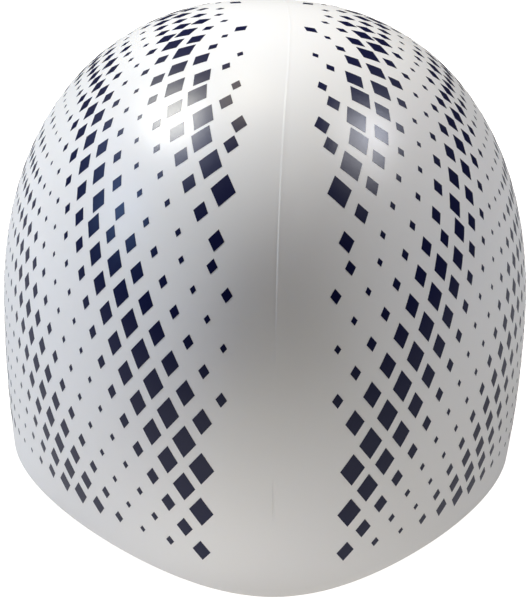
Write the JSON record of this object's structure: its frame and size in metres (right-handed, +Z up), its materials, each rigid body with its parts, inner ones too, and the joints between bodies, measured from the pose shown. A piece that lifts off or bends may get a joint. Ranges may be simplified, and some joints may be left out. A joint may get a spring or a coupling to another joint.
{
  "type": "swim cap",
  "caption": "Moulded silicone swim cap in its worn dome form, open below, standing on its cut rim, with a printed pattern on both sides.",
  "frame": {"origin": "on the ground under the middle of the cap's length and width", "axes": "+Z up through the crown, -Y towards the narrower forehead end, X from ear to ear"},
  "size_m": [0.1618, 0.194, 0.146],
  "materials": {
    "silicone": "smooth moulded off-white silicone with a soft gloss",
    "print_ink": "navy silicone ink, printed thin, with the gloss of the shell under it"
  },
  "bodies": {
    "root": {"cap_shell": "silicone"}
  },
  "joints": []
}
